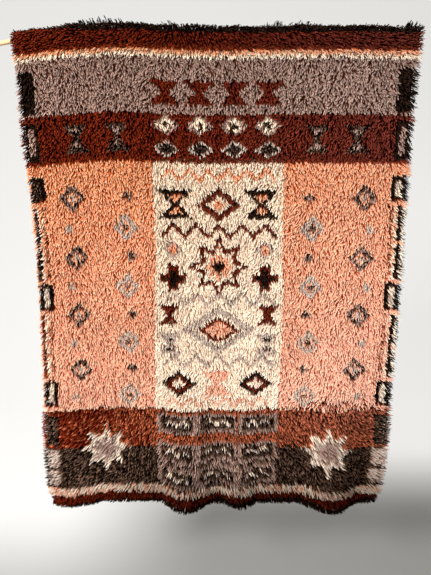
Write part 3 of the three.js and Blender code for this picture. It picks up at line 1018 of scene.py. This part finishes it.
def lean_of_locks():
    place = lock_across, lock_drop
    lean = sum(degrees * soft_noise(*place, size, seed) for degrees, size, seed in SWIRLS)
    tuft = TUFT_LEAN * soft_noise(*place, TUFT_SIZE, 13)
    unruly = 1 + UNRULY_AT_TOP * fall(lock_drop, 0.25, 0.20)
    lean = lean * (1 - FEWER_SWIRLS_LOW_DOWN * low)
    lean = lean + unruly * (1 - CALM_LOW_DOWN * low) * (tuft + tangle)
    outward = np.clip((lock_across + 0.10) / 0.10, -1, 1)
    at_ends = rise(np.abs(lock_across), 0.20, 0.30)
    combed_lean = COMBED_LEAN + COMBED_MORE_AT_ENDS * at_ends
    lean = mix(lean, outward * combed_lean + OWN_LEAN_KEPT_WHERE_COMBED * lean, combed)
    lean = lean + low * HEM_FAN * np.sin(lock_across / HEM_FAN_REACH * math.pi / 2)
    for distance, degrees, width in EDGE_FANS:
        fanned = degrees + OWN_LEAN_KEPT_AT_EDGES * lean
        lean = mix(lean, fanned, fall(distance, 0, width))
    return np.where(is_hair, lean * HAIR_LEAN, lean)


lock_lean = np.radians(lean_of_locks())
print("the locks lean", round(float(np.degrees(np.abs(lock_lean)).mean())), "degrees on average")

# %% How long each lock is, and how far it stands out
LOCK_LENGTH = 0.0185
RIM_LENGTH = 0.0245
LONGER_LOW_DOWN, RIM_LONGER_LOW_DOWN = 0.75, 0.15
SHORTER_AT_CORNERS = (0.55, 0.38)  # at the left, at the right
LOCK_LIFT = 0.0150
RIDGE_LIFT = 0.0155
RIDGE_HAIR_STANDS = 0.018
RIDGE_HAIR_LENGTH, RIGHT_HAIR_LENGTH = 0.5, 1.1  # shares of other hairs' length
TUFTS = [  # centre across, half width, height
    (-0.390, 0.150, 0.014), (-0.150, 0.050, 0.007), (0.200, 0.045, 0.014),
    (0.290, 0.070, 0.010), (0.550, 0.060, 0.005), (0.672, 0.034, 0.020),
]


def length_of_locks():
    plain_length = LOCK_LENGTH * (1 + LONGER_LOW_DOWN * low)
    rim_length = RIM_LENGTH * (1 + RIM_LONGER_LOW_DOWN * low)
    length = mix(plain_length, rim_length, np.maximum(at_rim, at_hem))
    length = length * (1 - np.where(lock_across < 0, *SHORTER_AT_CORNERS) * combed * at_rim)
    length = length * length_chance
    length = np.where(is_hair, length * hair_length_chance, length)
    length = np.where(right_hair, length * RIGHT_HAIR_LENGTH, length)
    return np.where(ridge_hair, length * RIDGE_HAIR_LENGTH, length)


def lift_of_locks():
    place = lock_across, lock_drop
    lift = LOCK_LIFT * lift_chance * (1 + 0.16 * soft_noise(*place, 0.035, 15))
    ridge_lift = RIDGE_LIFT * (1 + 0.40 * soft_noise(*place, 0.07, 16)) * ridge_lift_chance
    lift = mix(lift, ridge_lift, fall(lock_run, -0.006, 0.03))
    lift = np.where(is_hair, lift * hair_lift_chance, lift)
    standing = RIDGE_HAIR_STANDS + humps(lock_across, TUFTS)
    standing = standing + 0.005 * soft_noise(lock_across, 40 * lock_run, 0.022, 17)
    return np.where(ridge_hair, standing * standing_chance, lift)


lock_length, lock_lift = length_of_locks(), lift_of_locks()
print("locks are", round(lock_length.min() * 1000), "to", round(lock_length.max() * 1000), "mm")

# %% The path of each lock, as four stations
ALONG_SHARE = np.array([0.00, 0.28, 0.80, 1.00])
OUT_SHARE = np.array([-0.06, 0.78, 1.00, 0.93])
WAVE = 0.0019


def lock_paths():
    """The stations of every lock's centre line, and the two directions across it at each."""
    back, facing = cloth_back(lock_share, lock_run)
    ahead, _ = cloth_back(lock_share, lock_run + 0.001)
    root = back + CLOTH_THICKNESS * facing
    down = unit(ahead - back)
    side = unit(np.cross(down, facing))
    side = side * np.sign(side[:, :1] + 1e-9)
    way = np.cos(lock_lean)[:, None] * down + np.sin(lock_lean)[:, None] * side
    beside = np.cross(way, facing)
    phase = random.uniform(0, 2 * math.pi, (total, 1))
    size = WAVE * random.uniform(0.3, 1.3, (total, 1))
    wave = size * (np.sin(5.2 * ALONG_SHARE[None] + phase) - np.sin(phase))
    stations = (
        root[:, None, :]
        + facing[:, None, :] * (lock_lift[:, None] * OUT_SHARE)[:, :, None]
        + way[:, None, :] * (lock_length[:, None] * ALONG_SHARE)[:, :, None]
        + beside[:, None, :] * wave[:, :, None]
    )
    heading = unit(np.gradient(stations, axis=1)[:, 1:-1])
    first = unit(np.cross(heading, facing[:, None, :] + 0.3 * beside[:, None, :]))
    return stations, first, np.cross(heading, first)


stations, first_way, second_way = lock_paths()
seen = 0.5 * (stations[:, 1] + stations[:, 2])
lock_yarn = yarn_at(seen[:, 0], seen[:, 2], lock_drop)
print("the locks stand out", round(float(lock_lift.mean()) * 1000, 1), "mm on average")

# %% How thick each lock is
LOCK_RADIUS = 0.0020
HAIR_RADIUS = 0.0009
RIDGE_HAIR_RADIUS = 0.0015
STOUTER_LOW_DOWN = 0.14
GIRTH_SHARE = np.array([1.10, 0.95])
LOCK_SIDES = 3

hair_radius = np.where(ridge_hair, RIDGE_HAIR_RADIUS, HAIR_RADIUS)
lock_girth = np.where(is_hair, hair_radius, LOCK_RADIUS)[:, None]
lock_girth = lock_girth * random.uniform(0.8, 1.2, (total, 1)) * GIRTH_SHARE
stouter = rise(lock_run[:, None], FOOT_ROWS_FROM - 0.03, 0.06)
lock_girth = lock_girth * (1 + STOUTER_LOW_DOWN * stouter)
turn = random.uniform(0, 2 * math.pi, (total, 1))
turn = turn + np.arange(LOCK_SIDES) * 2 * math.pi / LOCK_SIDES
print("a lock is", round(float(2 * lock_girth.mean()) * 1000, 1), "mm thick on average")

# %% The skin of each lock
LOCK_POINTS = len(GIRTH_SHARE) * LOCK_SIDES + 2


def lock_points(chosen):
    """The points of some of the locks: for each its root, two rings of three, and its tip."""
    middle, first, second = stations[chosen], first_way[chosen], second_way[chosen]
    rings = rings_round(
        middle[:, 1:-1], first, second, turn[chosen][:, None, :], lock_girth[chosen]
    ).reshape(len(chosen), -1, 3)
    return np.concatenate([middle[:, :1], rings, middle[:, -1:]], axis=1)


def lock_faces():
    """The corners and sizes of one lock's faces, with each corner's place round and along it."""
    corners, sizes = [], []
    first, second = 1, 1 + LOCK_SIDES
    _, shoulder, neck, _ = ALONG_SHARE
    for side in range(LOCK_SIDES):
        after = (side + 1) % LOCK_SIDES
        left, right = side / LOCK_SIDES, (side + 1) / LOCK_SIDES
        middle = (left + right) / 2
        root, tip = (0, middle, 0.0), (LOCK_POINTS - 1, middle, 1.0)
        low_left, low_right = (first + side, left, shoulder), (first + after, right, shoulder)
        top_left, top_right = (second + side, left, neck), (second + after, right, neck)
        skin = (low_left, low_right, top_right, top_left)
        for face in ((root, low_right, low_left), skin, (top_left, top_right, tip)):
            corners += face
            sizes.append(len(face))
    corners = np.array(corners)
    return corners[:, 0].astype(int), np.array(sizes), corners[:, 1:]


print("each lock has", LOCK_POINTS, "points and", len(lock_faces()[1]), "faces")

# %% [markdown]
# Wool is matt, with a soft bloom at its edges. Yarn that was dyed by hand is uneven: some locks
# are darker, and the shade drifts slowly over the rug. Each lock is painted darkest at its root,
# as painted shade where the light is lost between its neighbours, and lightest towards its tip.
#
# The locks bring two sets of coordinates for this. One says which shade a lock has, and the place
# round it and along it, so that two plies can wind round it, with painted shade in the grooves
# between them. The other gives each lock a patch of its own on a picture, for those who bake the
# pile.

# %% Painted light and shade on the wool, by place
# Painted shade by height: darker at the hem and the top, lighter in the middle.
PAINTED_SHADE_BY_HEIGHT = [  # height, shade
    (-1.80, 0.34), (-1.72, 0.50), (-1.66, 1.00), (-1.30, 1.12), (-0.90, 1.03), (-0.45, 0.88),
    (-0.33, 0.97), (-0.12, 0.85), (-0.04, 0.66),
]
MOST_PAINTED_LIGHT_AT_RIGHT = 1.13


def painted_light_at_corner(x, z):
    """How much lighter the hem is painted at its lower left corner, as painted light."""
    corner = times(value_range(x, 1, 0, -0.62, -0.20), value_range(z, 1, 0, -1.74, -1.66))
    return value_range(corner, 1.0, 1.8)


def painted_light_at_right(x, z):
    """How much lighter and paler the rug is painted towards its right edge, as painted light."""
    right = times(value_range(x, 0, 1, -0.15, 0.55), value_range(z, 0, 1, -1.60, -1.35))
    return value_range(right, 1.0, MOST_PAINTED_LIGHT_AT_RIGHT)


def painted_flute_shade(y):
    """How much painted shade darkens the wool where the flutes of the hem stand forward."""
    return value_range(y, 0.70, 1.0, -0.105, -0.050)


def painted_shade_by_height(z):
    """How light the wool is painted at a height: painted shade at the hem and the top, lighter in
    the middle.
    """
    low, high = PAINTED_SHADE_BY_HEIGHT[0][0], PAINTED_SHADE_BY_HEIGHT[-1][0]
    ramp = add_node(z, "ShaderNodeValToRGB")
    stops = ramp.color_ramp.elements
    while len(stops) < len(PAINTED_SHADE_BY_HEIGHT):
        stops.new(0.5)
    for stop, (height, shade) in zip(stops, PAINTED_SHADE_BY_HEIGHT):
        stop.position = (height - low) / (high - low)
        stop.color = (shade / 2,) * 3 + (1.0,)
    join(value_range(z, 0, 1, low, high), ramp.inputs["Fac"])
    return times(ramp.outputs["Color"], 2.0)


palest = max(PAINTED_SHADE_BY_HEIGHT, key=lambda row: row[1])
print("the wool is palest at a height of", palest[0], "m")

# %% The material of one yarn
PLIES = 2
TWISTS = 5
SHADES = 64


def ply_wave(around, along):
    """A wave from -1 to 1 that winds round each lock, as the plies of its yarn do."""
    turns = reckon("ADD", times(reckon("FRACT", around), PLIES), times(along, TWISTS))
    return reckon("COSINE", times(turns, 2 * math.pi))


def wool_material(word, root, tip, spread, painted_shade_part, clumps, rich_at_foot, rich_at_top):
    material, shader = new_material(
        f"wool, {word}", roughness=0.75, specular=0.0, sheen=0.03, sheen_colour=linear(*tip)
    )
    around, along, _ = parts_of(add_node(shader, "ShaderNodeUVMap", uv_map="lock").outputs["UV"])
    x, y, z = parts_of(metres(shader))
    # Painted shade along each lock: the root's colour low down, the tip's colour further out.
    lightness = value_range(along, 0, 1, painted_shade_part, painted_shade_part + 0.62)
    colour = blend_colours(lightness, linear(*root), linear(*tip))
    shade = value_range(reckon("FLOOR", around), 1 - spread, 1 + spread, 0, SHADES)
    slow = value_range(noise(shader, scale=4.5, detail=2), 0.93, 1.07, 0.3, 0.7)
    clump = noise(shader, scale=110, detail=2, stretch=(1, 1, 0.25))
    clump = value_range(clump, 1 - clumps, 1 + clumps, 0.35, 0.65)
    ply = ply_wave(around, along)
    # Painted shade in the grooves between the plies.
    painted_groove_shade = value_range(ply, 0.86, 1.09, -1, 0)
    # Painted light and shade by place: by height, on the flutes, towards the right edge and at the
    # lower left corner.
    lit_right = painted_light_at_right(x, z)
    places = (painted_shade_by_height(z), painted_flute_shade(y), lit_right, painted_light_at_corner(x, z))
    richness = value_range(z, rich_at_foot, rich_at_top, -1.35, -0.45)
    tint = add_node(shader, "ShaderNodeHueSaturation")
    join(times(shade, slow, clump, painted_groove_shade, *places), tint.inputs["Value"])
    # Where the right edge is painted lighter, it is also painted paler.
    pale = value_range(lit_right, 1.0, 0.92, 1.0, MOST_PAINTED_LIGHT_AT_RIGHT)
    join(times(richness, pale), tint.inputs["Saturation"])
    join(colour, tint.inputs["Color"])
    join(tint.outputs["Color"], shader.inputs["Base Color"])
    fibres = noise(shader, scale=1400, detail=2, stretch=(1, 1, 0.25))
    add_bump(shader, reckon("ADD", ply, fibres), 0.5, 0.0004)
    return material


print("each lock is of", PLIES, "plies, and a yarn has up to", SHADES + 1, "shades")

# %% Pile pieces, one for each yarn, or two where it has many locks
MOST_LOCKS_IN_A_PIECE = 16000
# The dark part is the share of each lock's length that stays in the root's painted shade.
DYE_AND_PAINTED_SHADE = {  # spread of shades, dark part, clumps, richness of the colour at the foot and the top
    SALMON: (0.15, 0.26, 0.07, 0.88, 1.10),
    CREAM: (0.13, 0.26, 0.06, 0.84, 0.98),
    TAUPE: (0.26, 0.26, 0.10, 0.95, 1.00),
    RED_BROWN: (0.42, 0.31, 0.08, 1.00, 1.00),
    RUST: (0.55, 0.40, 0.30, 0.94, 0.94),
    DARK_BROWN: (0.90, 0.47, 0.50, 1.05, 1.05),
    BLACK: (0.50, 0.40, 0.25, 1.00, 1.00),
    GREY: (0.16, 0.26, 0.04, 0.95, 1.00),
}
PATCH_MARGIN = 0.06


def patch_coordinates(count, places):
    """A square patch for each lock on a picture, in rows."""
    across = math.ceil(math.sqrt(count))
    index = np.arange(count)
    corner = np.stack([index % across, index // across], axis=-1)[:, None, :]
    inside = PATCH_MARGIN + (1 - 2 * PATCH_MARGIN) * places[None]
    return (corner + inside) / across


def pile_piece(name, chosen, material):
    corners, sizes, places = lock_faces()
    count = len(chosen)
    first = (np.arange(count) * LOCK_POINTS)[:, None]
    piece = mesh_piece(
        name, lock_points(chosen).reshape(-1, 3), (first + corners[None]).ravel(),
        np.tile(sizes, count), material, "rug",
    )
    shade = np.repeat(random.integers(0, SHADES + 1, count), len(corners))
    around, along = (np.tile(column, count) for column in places.T)
    add_uv(piece, "lock", np.stack([shade + (0.01 + 0.98 * around), along], axis=-1))
    add_uv(piece, "OFBake", patch_coordinates(count, places))
    return piece


for yarn, (word, root, tip) in YARNS.items():
    members = np.flatnonzero(lock_yarn == yarn)
    material = wool_material(word, root, tip, *DYE_AND_PAINTED_SHADE[yarn])
    parts = math.ceil(len(members) / MOST_LOCKS_IN_A_PIECE)
    members = members[np.argsort(lock_share[members], kind="stable")]
    for part, chosen in enumerate(np.array_split(members, parts)):
        name = f"pile_{word}" + (f"_{part + 1}" if parts > 1 else "")
        pile_piece(name, chosen, material)
        print(name, "has", len(chosen), "locks")

# %% [markdown]

# %% [markdown]
# The studio is one pale sheet that sweeps up from the floor well behind the rug, so that the rug
# can be seen from the back too. It has no corner, so no line crosses the picture. The sheet glows
# by itself, as painted light.

# %% Floor and backdrop
FLOOR_HEIGHT = -2.45
FLOOR_FRONT = -7.0
SWEEP_RADIUS = 1.6
BACKDROP_DISTANCE = 3.8
BACKDROP_TOP = 3.0
STUDIO_HALF_WIDTH = 7.0


def glowing_paper_material():
    """Paper that glows by itself as painted light, a little less higher up. It doesn't glow on the
    floor in front of the rug, and glows less near the rug at the right, as a painted shadow.
    """
    material, shader = new_material("studio paper", roughness=0.9, specular=0.1)
    shader.inputs["Base Color"].default_value = linear(132, 131, 128)
    shader.inputs["Emission Color"].default_value = (1.0, 0.99, 0.975, 1.0)
    x, y, z = parts_of(metres(shader))
    near = value_range(y, 1, 0, 0.60, 1.50, "SMOOTHSTEP")
    right = value_range(x, 0, 1, -1.00, 0.00, "SMOOTHSTEP")
    # A painted shadow on the floor near the rug at the right.
    beyond_painted_shadow = value_range(times(near, right), 1, 0)
    behind_rug = value_range(y, 0, 1, -0.2, 0.8, "SMOOTHSTEP")
    low = value_range(z, 0.68, 0.57, -1.6, 1.4)
    join(times(beyond_painted_shadow, behind_rug, low), shader.inputs["Emission Strength"])
    return material


def backdrop_piece():
    turn = np.linspace(0, math.pi / 2, 20)
    y = BACKDROP_DISTANCE - SWEEP_RADIUS + SWEEP_RADIUS * np.sin(turn)
    z = FLOOR_HEIGHT + SWEEP_RADIUS * (1 - np.cos(turn))
    y = np.concatenate([[FLOOR_FRONT], y, [BACKDROP_DISTANCE]])
    z = np.concatenate([[FLOOR_HEIGHT], z, [BACKDROP_TOP]])
    x = np.array([-STUDIO_HALF_WIDTH, STUDIO_HALF_WIDTH])
    points = np.stack([np.repeat(x, len(y)), np.tile(y, 2), np.tile(z, 2)], axis=-1)
    mesh = bpy.data.meshes.new("backdrop")
    mesh.from_pydata(points.tolist(), [], grid_corners(2, len(y)).tolist())
    mesh.shade_smooth()
    mesh.materials.append(glowing_paper_material())
    backdrop = add_object("backdrop", mesh)
    return backdrop


backdrop = backdrop_piece()
print("the backdrop has", len(backdrop.data.polygons), "faces")

# %% [markdown]
# The light is soft and comes from the upper left, as from a large window. Long pile is all small
# shadows, so a low fill keeps the gaps dark but not black.

# %% Lights
LIGHTS = [  # name, place, aim, size in metres, power in watts
    ("window", (-2.8, -3.1, 1.2), (0, 0, -0.9), 1.3, 400),
    ("fill", (2.2, -2.6, 0.0), (0.2, 0, -1.0), 2.2, 36),
    ("behind", (-1.0, 2.4, 1.0), (0, 0, -0.9), 2.0, 45),
]
for name, place, aim, size, power in LIGHTS:
    data = bpy.data.lights.new(name, "AREA")
    data.shape = "DISK"
    data.size = size
    data.energy = power
    lamp = add_object(name, data)
    lamp.location = place
    x, y, z = np.subtract(aim, place)
    lamp.rotation_euler = (math.atan2(math.hypot(x, y), -z), 0, math.atan2(-x, y))

world = bpy.data.worlds.new("studio air")
world.use_nodes = True
air = world.node_tree.nodes["Background"]
air.inputs["Color"].default_value = (1.0, 0.985, 0.96, 1.0)
air.inputs["Strength"].default_value = 0.36
bpy.context.scene.world = world
print("the lamps give", sum(light[-1] for light in LIGHTS), "W in all")

# %% [markdown]
